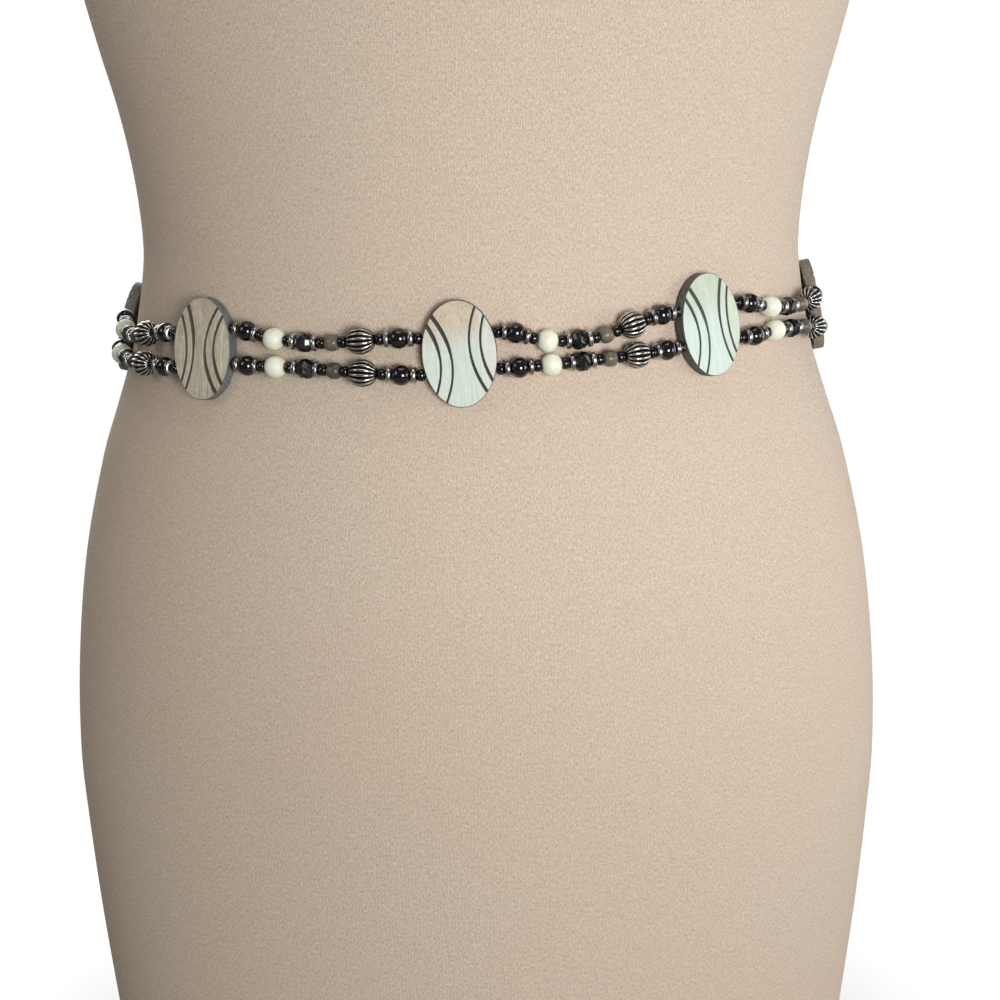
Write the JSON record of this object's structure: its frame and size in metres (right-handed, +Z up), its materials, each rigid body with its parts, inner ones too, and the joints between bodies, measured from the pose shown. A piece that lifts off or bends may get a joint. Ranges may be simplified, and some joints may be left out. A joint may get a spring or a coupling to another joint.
{
  "type": "beaded belt on a limbless dress form",
  "caption": "Belt of paired bead strands threaded through oval carved wooden medallions, hooked at the back and resting on a limbless cloth-covered dress form.",
  "frame": {"origin": "centre of the dress form's flat base, under the form's middle axis", "axes": "+Z up, the front of the form and belt faces -Y, +X is the viewer's right from the front"},
  "size_m": [0.3698, 0.2649, 0.862],
  "materials": {
    "form_cover": "fine beige knitted cover, matt",
    "painted_wood": "wood with a pale grey-green wash, carved lines and rim stained dark, satin",
    "black_bead": "black, glossy",
    "pewter": "oxidised pewter, worn bright on its ribs and rims",
    "pale_bead": "cream with a faint green tint, polished",
    "brown_bead": "dark grey-brown wood, waxed",
    "thread": "black waxed thread",
    "dark_metal": "oxidised pewter wire, satin"
  },
  "bodies": {
    "root": {"dress_form": "form_cover", "medallion_1": "painted_wood", "medallion_2": "painted_wood", "medallion_3": "painted_wood", "medallion_4": "painted_wood", "medallion_5": "painted_wood", "medallion_6": "painted_wood", "medallion_7": "painted_wood", "strand_0_upper": "black_bead", "strand_0_lower": "black_bead", "strand_1_upper": "black_bead", "strand_1_lower": "black_bead", "strand_2_upper": "black_bead", "strand_2_lower": "black_bead", "strand_3_upper": "black_bead", "strand_3_lower": "black_bead", "strand_4_upper": "black_bead", "strand_4_lower": "black_bead", "strand_5_upper": "black_bead", "strand_5_lower": "black_bead", "strand_6_upper": "black_bead", "strand_6_lower": "black_bead", "strand_7_upper": "black_bead", "strand_7_lower": "black_bead", "end_bar_left": "dark_metal", "end_bar_right": "dark_metal", "fastening_ring": "dark_metal"}
  },
  "joints": []
}
